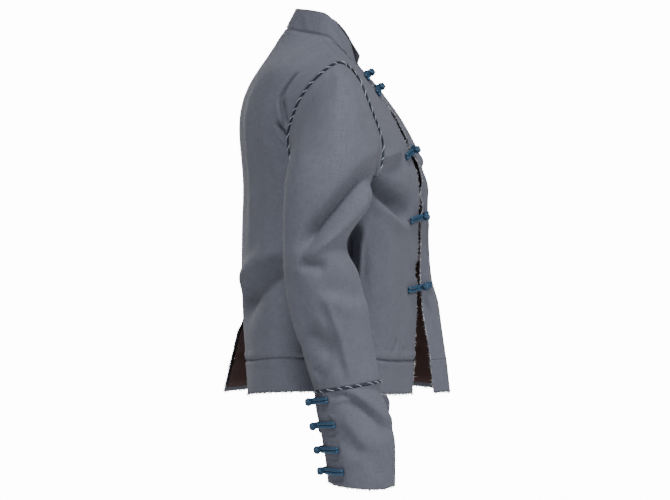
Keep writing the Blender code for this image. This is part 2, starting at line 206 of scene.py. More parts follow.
def panel(side, back, u, v, bottom):
    """The flat piece under (u, v): distance from its centre line, and height."""
    split = NECK_SHARE ** CENTRE_CROWDING
    armpit_z = smooth(ARMHOLE, 2, 0.5)
    tip_z = smooth(ARMHOLE, 2, 0)

    def flat(turn, z):
        return np.stack([turn / (math.pi / 2) * quarter_length(back, z), z + 0 * turn])

    def low(u):
        turn = u * math.pi / 2
        z = bottom(math.pi - turn if back else turn)
        start = turn_at_x(back, centre_x(side, back, z), z)
        return flat(start + u * (math.pi / 2 - start), z)

    def high(u):
        x, z = neckline(back, np.minimum(u / split, 1) ** (1 / CENTRE_CROWDING))
        neck = flat(turn_at_x(back, np.maximum(x, centre_x(side, back, z)), z), z)
        share = np.maximum(u - split, 0) / (1 - split)
        return np.where(u < split, neck, flat(math.pi / 2 + 0 * u, tip_z * share))

    def inner(v):
        start, end = low(0 * v)[1], high(0 * v)[1]
        middle = armpit_z - ROW_SAG
        z = np.where(v < 0.5, start + (middle - start) * v * 2, middle + (end - middle) * (v * 2 - 1))
        return flat(turn_at_x(back, centre_x(side, back, z), z), z)

    def outer(v):
        start = low(1 + 0 * v)[1]
        seam = flat(math.pi / 2 + 0 * v, start + (armpit_z - start) * v * 2)
        around = np.clip(1 - v, 0, 0.5)
        around = 1 - around if back else around
        y, z = smooth(ARMHOLE, 1, around), smooth(ARMHOLE, 2, around)
        turn = turn_at_y(y, z)
        return np.where(v < 0.5, seam, flat(math.pi - turn if back else turn, z))

    corners = ((1 - u) * (1 - v) * low(0 * u) + u * (1 - v) * low(1 + 0 * u)
               + (1 - u) * v * high(0 * u) + u * v * high(1 + 0 * u))
    across, z = (1 - u) * inner(v) + u * outer(v) + (1 - v) * low(u) + v * high(u) - corners
    return np.minimum(across, quarter_length(back, z)), z


def panel_turn(back, across, z):
    turn = across / quarter_length(back, z) * math.pi / 2
    return math.pi - turn if back else turn


def fade(distance, reach):
    """Rise softly from 0 to 1 over a reach."""
    share = np.clip(distance / reach, 0, 1)
    return share * share * (3 - 2 * share)


def hump(distance, width):
    """A round rise of height 1 that falls away on both sides."""
    return np.exp(-(distance / width) ** 2)


def fold_push(across, up, folds):
    """How far soft folds move the cloth out, read on the flat piece. A fold runs past its ends by a share
    of its length and fades out there. Its ridge is placed in widths from the trough."""
    overrun, fading = 0.12, 0.34
    gentleness, ridge_at, ridge_width = 1.3, 1.7, 0.9
    push = np.zeros(np.broadcast(across, up).shape)
    for start, start_up, end, end_up, bow, width, depth, lip in folds:
        run, rise = end - start, end_up - start_up
        length = math.hypot(run, rise)
        t = ((across - start) * run + (up - start_up) * rise) / length ** 2
        off = ((up - start_up) * run - (across - start) * rise) / length
        off = (off - bow * (1 - (2 * t - 1) ** 2)) / width
        ends = fade(np.minimum(t + overrun, 1 + overrun - t), fading)
        side = np.sign(lip)
        off = np.where(off * side < 0, off / (1 + gentleness * abs(lip)), off)
        ridge = abs(lip) * hump(off - ridge_at * side, ridge_width)
        push += depth * ends * (ridge - hump(off, 1))
    return push


def grid_normals(points, closed):
    """Ways square to a grid of points, whose columns may close into a tube."""
    if closed:
        across = np.roll(points, -1, axis=1) - np.roll(points, 1, axis=1)
    else:
        across = np.gradient(points, axis=1)
    return unit(np.cross(across, np.gradient(points, axis=0)))


def relax(points, closed, share, rounds):
    """Even out a cloth's form along its normals, with its edges held."""
    for _ in range(rounds):
        beside = (np.roll(points, 1, axis=1) + np.roll(points, -1, axis=1)) / 2
        above = (np.roll(points, 1, axis=0) + np.roll(points, -1, axis=0)) / 2
        normals = grid_normals(points, closed)
        shift = (((beside + above) / 2 - points) * normals).sum(axis=-1) * share
        shift[[0, -1]] = 0
        if not closed:
            shift[:, [0, -1]] = 0
        points = points + normals * shift[..., None]
    return points


def put(name, data):
    """An object for this data, placed in the scene."""
    thing = bpy.data.objects.new(name, data)
    bpy.context.scene.collection.objects.link(thing)
    return thing


def cloth(name, columns, rows, form, push, flat, flip, closed=False, crowding=1.0, calm=0, wall=CLOTH_WALL):
    """A cloth piece: a grid on a form of (u, v), evened out and pushed into its folds. UVs are its flat
    size in metres. Gives the piece and its grid of points."""
    across = (np.arange(columns if closed else columns + 1) / columns) ** crowding
    u, v = np.meshgrid(across, np.arange(rows + 1) / rows)
    points = form(u.ravel(), v.ravel()).reshape(*u.shape, 3)
    # A sleeve is evened out at its cap, and hardly at all below its middle.
    held = 0.9 * fade(v - 0.5, 0.2) if closed else 0
    points = relax(points, closed, 1 - held, calm)
    turned = -1 if flip else 1
    points += turned * grid_normals(points, closed) * push(u, v, points)[..., None]
    bm = bmesh.new()
    bmesh.ops.create_grid(bm, x_segments=columns, y_segments=rows, size=0.5, calc_uvs=True)
    uv = bm.loops.layers.uv.verify()
    for face in bm.faces:
        for loop in face.loops:
            loop[uv].uv = ((loop.vert.co.x + 0.5) * flat[0], (loop.vert.co.y + 0.5) * flat[1])
    for vert in bm.verts:
        column = round((vert.co.x + 0.5) * columns)
        row = round((vert.co.y + 0.5) * rows)
        vert.co = points[row, column % points.shape[1]] * MM
    if closed:
        bmesh.ops.remove_doubles(bm, verts=bm.verts, dist=0.01 * MM)
    if flip:
        bmesh.ops.reverse_faces(bm, faces=bm.faces)
    mesh = bpy.data.meshes.new(name)
    bm.to_mesh(mesh)
    bm.free()
    mesh.shade_smooth()
    piece = put(name, mesh)
    solid = piece.modifiers.new("wall", "SOLIDIFY")
    solid.thickness = wall * MM
    solid.offset = -1
    return piece, points


def weave_group():
    """Plain weave: uneven threads both ways, as a tint about 1 and a height in threads."""
    group = bpy.data.node_groups.new("plain_weave", "ShaderNodeTree")
    group.interface.new_socket("Pitch", in_out="INPUT", socket_type="NodeSocketFloat")
    group.interface.new_socket("Tint", in_out="OUTPUT", socket_type="NodeSocketFloat")
    group.interface.new_socket("Height", in_out="OUTPUT", socket_type="NodeSocketFloat")
    nodes, links = group.nodes, group.links
    enter = nodes.new("NodeGroupInput")
    leave = nodes.new("NodeGroupOutput")
    place = nodes.new("ShaderNodeUVMap")
    split = nodes.new("ShaderNodeSeparateXYZ")
    links.new(place.outputs["UV"], split.inputs["Vector"])

    def sums(operation, first, second):
        node = nodes.new("ShaderNodeMath")
        node.operation = operation
        for socket, value in zip(node.inputs, (first, second)):
            if isinstance(value, (int, float)):
                socket.default_value = value
            else:
                links.new(value, socket)
        return node.outputs["Value"]

    def slubs(stretch):
        squeeze = nodes.new("ShaderNodeMapping")
        squeeze.inputs["Scale"].default_value = stretch
        links.new(place.outputs["UV"], squeeze.inputs["Vector"])
        cloud = nodes.new("ShaderNodeTexNoise")
        cloud.inputs["Scale"].default_value = 1
        cloud.inputs["Detail"].default_value = 3
        links.new(squeeze.outputs["Vector"], cloud.inputs["Vector"])
        return cloud.outputs["Fac"]

    threads = []
    for axis in "XY":
        turns = sums("DIVIDE", split.outputs[axis], enter.outputs["Pitch"])
        threads.append(sums("SINE", sums("MULTIPLY", turns, 2 * math.pi), 0))
    height = sums("MULTIPLY", threads[0], threads[1])
    fine, coarse, patch = 900, 60, 26
    thread_tint, patch_tint, weave_tint, slub_height = 0.44, 0.22, 0.05, 1.2
    base_tint = 1 - thread_tint - patch_tint / 2
    warp = slubs((fine, coarse, 1))
    weft = slubs((coarse, fine, 1))
    cloudy = slubs((patch, patch, 1))
    tint = sums("ADD", sums("MULTIPLY", warp, thread_tint), sums("MULTIPLY", weft, thread_tint))
    tint = sums("ADD", tint, sums("MULTIPLY", cloudy, patch_tint))
    tint = sums("ADD", tint, sums("MULTIPLY", height, weave_tint))
    links.new(sums("ADD", tint, base_tint), leave.inputs["Tint"])
    relief = sums("ADD", height, sums("MULTIPLY", sums("ADD", warp, weft), slub_height))
    links.new(relief, leave.inputs["Height"])
    return group


WEAVE = weave_group()


def woven(name, colour, roughness, pitch, bump, sheen):
    """A woven cloth: its colour times the weave's tint, with the threads as bump and a soft sheen."""
    material = bpy.data.materials.new(name)
    material.use_nodes = True
    nodes, links = material.node_tree.nodes, material.node_tree.links
    shader = nodes["Principled BSDF"]
    weave = nodes.new("ShaderNodeGroup")
    weave.node_tree = WEAVE
    weave.inputs["Pitch"].default_value = pitch * MM
    paint = nodes.new("ShaderNodeMix")
    paint.data_type = "RGBA"
    paint.blend_type = "MULTIPLY"
    # A Mix node's colour sockets share their names with others, so they are told apart by number.
    paint.inputs[0].default_value = 1
    paint.inputs[6].default_value = (*colour, 1)
    links.new(weave.outputs["Tint"], paint.inputs[7])
    links.new(paint.outputs[2], shader.inputs["Base Color"])
    relief = nodes.new("ShaderNodeBump")
    relief.inputs["Strength"].default_value = bump
    relief.inputs["Distance"].default_value = 0.1 * MM
    links.new(weave.outputs["Height"], relief.inputs["Height"])
    links.new(relief.outputs["Normal"], shader.inputs["Normal"])
    shader.inputs["Roughness"].default_value = roughness
    shader.inputs["Specular IOR Level"].default_value = 0.25
    shader.inputs["Sheen Weight"].default_value = sheen
    shader.inputs["Sheen Roughness"].default_value = 0.5
    return material


COTTON = woven("cotton", (0.135, 0.142, 0.181), 0.85, 0.7, 0.4, 0.08)

# Folds on a flat panel: start and end are from the centre line, and up is the height. A fold is a trough, or
# a swell where its depth is below 0. Where lip isn't 0 its sign says which side is steep and has a ridge, and
# the other side slopes gently. The four tables have the same columns.
FRONT_RIGHT_FOLDS = [
    # start, start_up, end, end_up, bow, width, depth, lip
    (128, -196, 26, -183, 3, 8, 6.5, -0.7),
    (164, -218, 26, -261, 0, 14.5, 30, 0.15),
    (2, -186, 2, -256, 0, 14, -2.5, 0),
    (0, -334, 0, -360, 0, 11, 3.6, 0),
    (191, -280, 190, -382, 3, 10, 16, -0.5),
    (171, -302, 173, -372, -2, 6, 4.5, 0.5),
    (150, -262, 146, -330, 4, 10, 1.6, 0.3),
    (110, -420, 120, -300, -6, 20, 1.8, 0.3),
    (83, -476, 62, -450, 3, 4.5, 2.6, 0.6),
    (129, -476, 131, -455, 0, 4, 1.8, 0.5),
    (104, -475, 99, -461, 0, 3.5, 1.2, 0.5),
    (44, -476, 38, -459, 0, 4, 1.4, -0.5),
    (163, -474, 158, -452, 0, 5, 1.6, 0.4),
]
FRONT_LEFT_FOLDS = [
    (124, -196, 30, -188, 4, 8, 4, -0.6),
    (160, -230, 36, -256, 4, 14, 7, 0.4),
    (0, -106, 0, -160, 0, 10, -2.5, 0),
    (0, -178, 0, -226, 0, 11, -4.5, 0),
    (0, -242, 0, -262, 0, 9, -3, 0),
    (0, -282, 0, -350, 0, 10, -0.9, 0),
    (66, -258, 66, -384, 0, 30, 6.5, 0),
    (188, -280, 184, -386, 4, 10, 5, -0.5),
    (140, -270, 132, -350, 5, 12, 2, 0.3),
    (92, -430, 108, -310, -6, 18, 2, 0.3),
    (76, -476, 62, -455, 2, 4.5, 2.2, 0.6),
    (118, -475, 124, -456, 0, 4, 1.6, -0.5),
    (152, -474, 148, -458, 0, 4, 1.4, 0.5),
]
BACK_RIGHT_FOLDS = [
    (203, -60, 197, -100, 1, 3.6, 7, 0.25),
    (197, -98, 210, -138, 1, 4, 9, -0.25),
    (193, -133, 210, -162, 0, 4.2, 8, -0.3),
    (0, -428, 0, -486, 0, 11, 4, 0),
    (192, -346, 52, -400, -6, 18, 19, -0.45),
    (137, -80, 112, -330, 8, 15, 2.6, 0.35),
    (92, -66, 74, -300, -6, 13, 2.0, 0.3),
    (160, -180, 150, -320, 5, 12, 2.2, 0.3),
    (46, -90, 40, -260, 4, 12, 1.2, 0.3),
    (70, -476, 62, -462, 0, 4, 0.8, 0.5),
    (122, -476, 128, -460, 0, 4, 0.9, 0.5),
    (176, -475, 170, -458, 0, 5, 1.0, -0.5),
]
BACK_LEFT_FOLDS = [
    (176, -60, 190, -108, -2, 7, 6, -0.6),
    (189, -100, 205, -150, 3, 7, 6, -0.5),
    (184, -346, 70, -392, -6, 18, 6, -0.35),
    (132, -90, 116, -322, 6, 14, 2.8, 0.35),
    (86, -74, 80, -290, -5, 12, 2.0, 0.3),
    (162, -190, 146, -330, 5, 11, 2.4, 0.3),
    (84, -476, 78, -460, 0, 4, 0.9, 0.5),
    (140, -476, 146, -462, 0, 4, 0.8, -0.5),
]
PANEL_WIDTH = 250
PANEL_HEIGHT = 480
SIDE_HOLD = 8
TOP_HOLD = 14
HEM_HOLD = 12
FACING_WIDTH = 80
FACING_FADE = 40
VENT_HEM_WIDTH = 3
VENT_HEM_FADE = 10
SEAM_DIP = 1.7
SEAM_WIDTH = 2.4
ROLL_ABOVE = 7
ROLL_WIDTH = 6


def seam_shows(side, back, across):
    """The band's seam shows all round, but not on the left front's faced edge or by the vent."""
    if back:
        return fade(across - VENT_HEM_WIDTH, VENT_HEM_FADE)
    return fade(across - FACING_WIDTH, FACING_FADE) if side == LEFT else 1 + 0 * across


def hem_roll(across, above):
    """Cloth rolls a little over the band's seam, unevenly, and dips into it."""
    swell = 1.3 + 0.5 * np.sin(across / 9) * np.sin(across / 23 + 1) + 0.4 * np.sin(across / 41)
    return swell * hump(above - ROLL_ABOVE, ROLL_WIDTH) - SEAM_DIP * hump(above, SEAM_WIDTH)


def panel_form(side, back):
    def form(u, v):
        across, z = panel(side, back, u, v, band_top)
        return body_form(side, panel_turn(back, across, z), z)
    return form


def panel_push(side, back, folds):
    def push(u, v, points):
        across, z = panel(side, back, u.ravel(), v.ravel(), band_top)
        above = z - band_top(panel_turn(back, across, z))
        pushed = fold_push(across, z, folds) * fade(above, HEM_HOLD)
        rolled = hem_roll(across, above) * seam_shows(side, back, across)
        held = fade((1 - u) * PANEL_WIDTH, SIDE_HOLD) * fade((1 - v) * PANEL_HEIGHT, TOP_HOLD)
        return pushed.reshape(u.shape) * held + rolled.reshape(u.shape)
    return push


def loose_thread():
    """Undyed thread ends: pale, with some that kept the cloth's colour, told apart by place."""
    material = bpy.data.materials.new("loose_thread")
    material.use_nodes = True
    nodes, links = material.node_tree.nodes, material.node_tree.links
    place = nodes.new("ShaderNodeTexCoord")
    speckle = nodes.new("ShaderNodeTexNoise")
    speckle.inputs["Scale"].default_value = 420
    ramp = nodes.new("ShaderNodeValToRGB")
    ramp.color_ramp.elements[0].position = 0.42
    ramp.color_ramp.elements[0].color = (0.12, 0.13, 0.16, 1)
    ramp.color_ramp.elements[1].position = 0.56
    ramp.color_ramp.elements[1].color = (0.75, 0.75, 0.77, 1)
    links.new(place.outputs["Object"], speckle.inputs["Vector"])
    links.new(speckle.outputs["Fac"], ramp.inputs["Fac"])
    shader = nodes["Principled BSDF"]
    links.new(ramp.outputs["Color"], shader.inputs["Base Color"])
    shader.inputs["Roughness"].default_value = 0.8
    return material


LOOSE_THREAD = loose_thread()
SHORTEST_THREAD = 1.0
LONGEST_THREAD = 4.2
THREAD_RADII = (0.2, 0.42)
THREAD_LEAN = 0.55
THREAD_BEND = 0.35
THREAD_SINK = 0.5
THREAD_STATIONS = (-0.25, 0.35, 1.0)
THREAD_CORNERS = (0, 2.1, 4.2)


def fray(name, edge, inner, spacing, seed):
    """Loose thread ends along a raw edge, joined in one mesh of thin bent prisms."""
    rng = np.random.default_rng(seed)
    walked = np.concatenate([[0], np.cumsum(np.linalg.norm(np.diff(edge, axis=0), axis=1))])
    count = int(walked[-1] / spacing)
    places = np.sort(rng.uniform(0, walked[-1], count))

    def along_edge(points):
        return np.stack([np.interp(places, walked, points[:, axis]) for axis in range(3)], axis=-1)

    root = along_edge(edge)
    out = unit(root - along_edge(inner))
    along = unit(along_edge(np.gradient(edge, axis=0)))
    square = np.cross(out, along)
    lean, lift = rng.normal(0, THREAD_LEAN, (2, count, 1))
    way = unit(out + along * lean + square * lift * 0.6)
    long = SHORTEST_THREAD + (LONGEST_THREAD - SHORTEST_THREAD) * rng.uniform(0, 1, (count, 1)) ** 2
    bend = along * rng.normal(0, THREAD_BEND, (count, 1)) + square * rng.normal(0, THREAD_BEND, (count, 1))
    thick = rng.uniform(*THREAD_RADII, (count, 1))
    rings = []
    for share in THREAD_STATIONS:
        middle = root - square * THREAD_SINK + (way * share + bend * share * abs(share)) * long
        for angle in THREAD_CORNERS:
            round_it = along * math.cos(angle) + square * math.sin(angle)
            rings.append(middle + round_it * thick * (1.2 - share * 0.7))
    verts = np.stack(rings, axis=1).reshape(-1, 3) * MM
    faces = []
    sides = len(THREAD_CORNERS)
    each = sides * len(THREAD_STATIONS)
    for start in range(0, each * count, each):
        for ring in range(start, start + each - sides, sides):
            for k in range(sides):
                here, there = ring + k, ring + (k + 1) % sides
                faces.append((here, there, there + sides, here + sides))
        faces.append((start + 2, start + 1, start))
        faces.append((start + 6, start + 7, start + 8))
    mesh = bpy.data.meshes.new(name)
    mesh.from_pydata(verts.tolist(), [], faces)
    piece = put(name, mesh)
    piece.data.materials.append(LOOSE_THREAD)
    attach(piece, "root")
    return piece


FRONT_OPEN_ROWS = 155
VENT_OPEN_ROWS = 30
PANELS = [
    # name, side, back, folds, flat size in metres, flat area in square metres
    ("front_right", RIGHT, False, FRONT_RIGHT_FOLDS, (0.270, 0.480), 0.102),
    ("front_left", LEFT, False, FRONT_LEFT_FOLDS, (0.270, 0.480), 0.104),
    ("back_right", RIGHT, True, BACK_RIGHT_FOLDS, (0.262, 0.495), 0.121),
    ("back_left", LEFT, True, BACK_LEFT_FOLDS, (0.262, 0.495), 0.121),
]
grids = {}
for name, side, back, folds, flat, area in PANELS:
    piece, grid = cloth(name + "_cloth", PANEL_COLUMNS, PANEL_ROWS, panel_form(side, back),
                        panel_push(side, back, folds), flat, (side == RIGHT) != back,
                        crowding=CENTRE_CROWDING, calm=60)
    piece.data.materials.append(COTTON)
    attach(piece, "root")
    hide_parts(name)
    grids[name] = grid
    open_rows = VENT_OPEN_ROWS if back else FRONT_OPEN_ROWS
    loose = fray(name + "_fray", grid[:open_rows, 0], grid[:open_rows, 2], spacing=0.9, seed=len(name))

# Centre back seam: the backs are sewn together from the neckline down to the vent, and the seam's two
# allowances, of the same cotton, are pressed open inside.
ALLOWANCE = 7
ALLOWANCE_DEPTH = 1.5
ALLOWANCE_WALL = 0.6
ALLOWANCE_FLAT = (2 * ALLOWANCE * MM, 0.43)
VENT_TOP_Z = -419


def allowance_form(u, v):
    x = (2 * u - 1) * ALLOWANCE
    z = VENT_TOP_Z + (BACK_NECK_Z - 1 - VENT_TOP_Z) * v
    turn = math.pi - turn_at_x(True, x, z)
    halves = []
    for side in (RIGHT, LEFT):
        halves.append(body_form(side, turn, z) - body_normal(side, turn, z) * ALLOWANCE_DEPTH)
    return np.where((x < 0)[:, None], halves[0], halves[1])


def no_push(u, v, points):
    return 0 * u


seam, _ = cloth("back_seam_allowance", columns=8, rows=120, form=allowance_form, push=no_push,
                flat=ALLOWANCE_FLAT, flip=False, wall=ALLOWANCE_WALL)
seam.data.materials.append(COTTON)
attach(seam, "root")

# Hem band: a strip of the same cotton under each panel, sewn on with a seam and left raw at the bottom,
# where it waves a little.
BAND_ROWS = 14
BAND_WAVE = 1.4
BAND_ROLL = 0.7
BAND_ROLL_BELOW = 6
BAND_ROLL_WIDTH = 5


def band_form(side, back):
    def form(u, v):
        across, z = panel(side, back, u, 0 * u, band_top)
        return body_form(side, panel_turn(back, across, z), z + (v - 1) * BAND_HEIGHT)
    return form


def band_push(side, back):
    def push(u, v, points):
        above = (v - 1) * BAND_HEIGHT
        wave = BAND_WAVE * np.sin(u * 12) * np.sin(u * 5.3 + points[0, 0, 1]) * (1 - v)
        seam = BAND_ROLL * hump(above + BAND_ROLL_BELOW, BAND_ROLL_WIDTH) - SEAM_DIP * hump(above, SEAM_WIDTH)
        return wave + seam * seam_shows(side, back, u * PANEL_WIDTH)
    return push


band_grids = {}
for name, side, back, _, flat, _ in PANELS:
    piece, grid = cloth("hem_" + name + "_cloth", PANEL_COLUMNS, BAND_ROWS, band_form(side, back),
                        band_push(side, back), (flat[0], BAND_HEIGHT * MM), (side == RIGHT) != back,
                        crowding=CENTRE_CROWDING)
    band_grids[name] = grid
    piece.data.materials.append(COTTON)
    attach(piece, "root")
    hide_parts("hem_" + name)
    edge = np.vstack([grid[::-1, 0], grid[0]])
    inner = np.vstack([grid[::-1, 2], grid[2]])
    loose = fray("hem_" + name + "_fray", edge, inner, spacing=0.7, seed=3 * len(name))

# Collar: a stand collar of doubled cotton, sewn to the neckline all round and open at the front. It
# leans in, most at the back, and its left end droops forward.
COLLAR_WALL = 2
COLLAR_FLAT = (0.375, 0.035)
COLLAR_LENGTH = 375
COLLAR_RISE = 33
COLLAR_CENTRE_Y = 5
COLLAR_TUCK = 3
COLLAR_HOLD = 6
GROOVE_DEPTH = 2
GROOVE_ABOVE = 1
GROOVE_WIDTH = 1.5
GROOVE_END = 0.8
GROOVE_FADE = 0.25
LEFT_END_DROOP = (0, -14, -20)
DROOP_SHARE = 0.16
COLLAR = [
    # share from the front end to centre back, height, lean
    (0.00, 33, 9),
    (0.35, 35, 9),
    (0.55, 38, 10),
    (0.75, 36, 14),
    (1.00, 33, 17),
]
COLLAR_FOLDS = [
    # start, start_up, end, end_up, bow, width, depth, lip
    (52, 3, 84, 27, 2, 5, 1.2, 0.5),
    (120, 2, 132, 22, 0, 6, 0.9, 0.4),
    (196, 4, 190, 24, 0, 7, 0.8, 0.4),
    (262, 3, 246, 25, 0, 6, 1.0, 0.4),
    (328, 4, 300, 28, 2, 5, 1.2, -0.5),
]


def collar_form(u, v):
    from_end = 1 - np.abs(2 * u - 1)
    half = []
    for side in (RIGHT, LEFT):
        bases = []
        for back in (False, True):
            share = np.clip(2 * (1 - from_end) if back else 2 * from_end, 0, 1)
            x, z = neckline(back, share)
            turn = turn_at_x(back, x, z)
            bases.append(body_form(side, math.pi - turn if back else turn, z))
        half.append(np.where((from_end > 0.5)[:, None], bases[1], bases[0]))
    base = np.where((u < 0.5)[:, None], half[0], half[1])
    inward = unit(np.stack([-base[:, 0], COLLAR_CENTRE_Y - base[:, 1], 0 * u], axis=-1))
    rise = np.array([0, 0, COLLAR_RISE])
    way = unit(inward * smooth(COLLAR, 2, from_end)[:, None] + rise)
    height = smooth(COLLAR, 1, from_end) + COLLAR_TUCK
    droop = np.where(u > 0.5, fade(DROOP_SHARE - from_end, DROOP_SHARE) * v, 0)
    return base + way * (v * height - COLLAR_TUCK)[:, None] + droop[:, None] * np.array(LEFT_END_DROOP)


def collar_push(u, v, points):
    above = v * (COLLAR_RISE + COLLAR_TUCK) - COLLAR_TUCK
    groove = hump(above - GROOVE_ABOVE, GROOVE_WIDTH) * fade(GROOVE_END - np.abs(2 * u - 1), GROOVE_FADE)
    pushed = fold_push(u * COLLAR_LENGTH, v * COLLAR_RISE, COLLAR_FOLDS)
    return pushed * fade(v * COLLAR_RISE, COLLAR_HOLD) - GROOVE_DEPTH * groove


piece, _ = cloth("collar_cloth", columns=200, rows=24, form=collar_form, push=collar_push,
                 flat=COLLAR_FLAT, flip=True, calm=6, wall=COLLAR_WALL)
piece.data.materials.append(COTTON)
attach(piece, "root")
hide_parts("collar")

# Sleeves: one-piece set-in sleeves of the same cotton. The cap swells out of the armhole seam, and the
# cloth breaks into folds at the elbow, where the arm is a little bent.
CAP_SHARE = 1 / 3
CAP_FULLNESS = 0.75
SEAM_REACH = 3.8
SEAM_FALL = 0.25
SLEEVE_END_Z = -509.6
SLEEVE_FLAT = (0.345, 0.465)
SLEEVE_LENGTH = 460
CAP_HOLD = 14
CUFF_SEAM_HOLD = 8
CAP_ROLL = 0.9
CAP_ROLL_BELOW = 6
CAP_ROLL_WIDTH = 5
CAP_DIP = 0.8
CAP_DIP_WIDTH = 2
SLEEVE = [
    # z, centre_x, centre_y, half_x, half_y, tilt
    (-236, 235, -25, 47, 62, 0.10),
    (-272, 237, -15, 45, 53, 0.16),
    (-309, 237, -8, 43, 46, 0.02),
    (-349, 234, -17, 45, 53, -0.10),
    (-398, 231, -28, 45, 55, -0.13),
    (-445, 228, -38, 44, 51, -0.15),
    (-477, 226, -46, 43, 49, -0.16),
    (-508.5, 225, -54, 43, 47, -0.16),
]
LEFT_ARM_BACK = [
    # z, back
    (-654, 47),
    (-508, 37),
    (-309, 6),
    (-236, 0),
]
OUTER_FOLDS = [
    # start_y, start_z, end_y, end_z, bow, width, depth, lip: y on the right arm
    (-105, -194, 6, -313, -3, 10, 23, -0.42),
    (10, -334, -30, -341, 2, 10, 7.5, 0),
    (-22, -369, -80, -387, -2, 11, 5, 0.5),
    (4, -434, -44, -462, 0, 16, 11, 0),
    (-20, -388, -54, -498, -3, 5, 3.2, -0.6),
    (-10, -484, -24, -500, 0, 4.5, 3, 0.5),
    (22, -352, -6, -440, 4, 10, 3, 0.3),
    (-76, -120, -84, -178, 3, 10, 1.6, 0.3),
    (-42, -64, -45, -84, 0, 4.5, 0.5, 0.4),
    (-30, -64, -30, -86, 0, 4.5, 0.5, -0.4),
    (-56, -74, -60, -94, 0, 4.5, 0.5, 0.4),
    (-2, -96, -8, -190, 4, 14, 1.6, 0.3),
]
INNER_FOLDS = [
    (-84, -244, -6, -306, 4, 9, 6, 0.6),
    (-52, -300, 26, -318, 3, 8, 5, 0.5),
    (-60, -330, 20, -352, -3, 10, 4, 0.4),
    (-14, -400, -50, -430, 0, 13, 4, 0.3),
    (-60, -440, -52, -500, 0, 6, 2.6, 0.4),
    (-20, -470, -36, -502, 0, 5, 2.2, -0.5),
]


def armhole_place(around):
    """The turn and height of the armhole's edge."""
    z = smooth(ARMHOLE, 2, around % 1.0)
    return turn_at_y(smooth(ARMHOLE, 1, around % 1.0), z), z


def armhole_point(side, around):
    return body_form(side, *armhole_place(around))


def armhole_way(side, around):
    """The way a sleeve sets out: square to the armhole's edge, and out to the side."""
    step = 0.02
    edge = armhole_point(side, around + step) - armhole_point(side, around - step)
    square = unit(np.cross(edge, body_normal(side, *armhole_place(around)))) * -side
    square[:, 2] = np.minimum(square[:, 2], 0)
    return unit(square + np.array([side, 0, -SEAM_FALL]))


def ring_form(side, rows, z, around):
    cx, cy, hx, hy, tilt = (smooth(rows, c, z) for c in range(1, 6))
    if side == LEFT:
        cy = cy + smooth(LEFT_ARM_BACK, 1, z)
    angle = around * 2 * math.pi
    y = cy - hy * np.sin(angle)
    return np.stack([side * (cx + hx * np.cos(angle)), y, z + tilt * (y - cy)], axis=-1)


def sleeve_form(side, around, along):
    top_z = SLEEVE[0][0]
    z = top_z + (SLEEVE_END_Z - top_z) * np.maximum(along - CAP_SHARE, 0) / (1 - CAP_SHARE)
    arm = ring_form(side, SLEEVE, z, around)
    t = (np.minimum(along / CAP_SHARE, 1))[:, None]
    way = armhole_way(side, around)
    start = armhole_point(side, around) + way * SEAM_REACH
    end = ring_form(side, SLEEVE, top_z + 0 * around, around)
    reach = np.linalg.norm(end - start, axis=-1, keepdims=True)
    fall = unit(ring_form(side, SLEEVE, top_z - 10 + 0 * around, around) - end)
    cap = (start * ((1 + 2 * t) * (1 - t) ** 2) + way * reach * CAP_FULLNESS * (t * (1 - t) ** 2)
           + end * (t * t * (3 - 2 * t)) + fall * reach * (t * t * (t - 1)))
    return np.where((along >= CAP_SHARE)[:, None], arm, cap)


def sleeve_push(side):
    def push(u, v, points):
        y, z = points[..., 1], points[..., 2]
        if side == LEFT:
            y = y - smooth(LEFT_ARM_BACK, 1, z)
        # out is 1 on the arm's outer side and -1 against the body
        out = np.cos(u * 2 * math.pi)
        pushed = fold_push(y, z, OUTER_FOLDS) * fade(out + 0.5, 0.6)
        pushed += fold_push(y, z, INNER_FOLDS) * fade(0.3 - out, 0.6)
        below, above = v * SLEEVE_LENGTH, (1 - v) * SLEEVE_LENGTH
        roll = CAP_ROLL * hump(below - CAP_ROLL_BELOW, CAP_ROLL_WIDTH) - CAP_DIP * hump(below, CAP_DIP_WIDTH)
        return pushed * fade(below, CAP_HOLD) * fade(above, CUFF_SEAM_HOLD) + roll
    return push


for label, side in SIDES:
    name = "sleeve_" + label
    piece, _ = cloth(name + "_cloth", columns=132, rows=200, form=lambda u, v: sleeve_form(side, u, v),
                     push=sleeve_push(side), flat=SLEEVE_FLAT, flip=side == RIGHT, closed=True, calm=60)
    piece.data.materials.append(COTTON)
    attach(piece, "root")
    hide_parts(name)

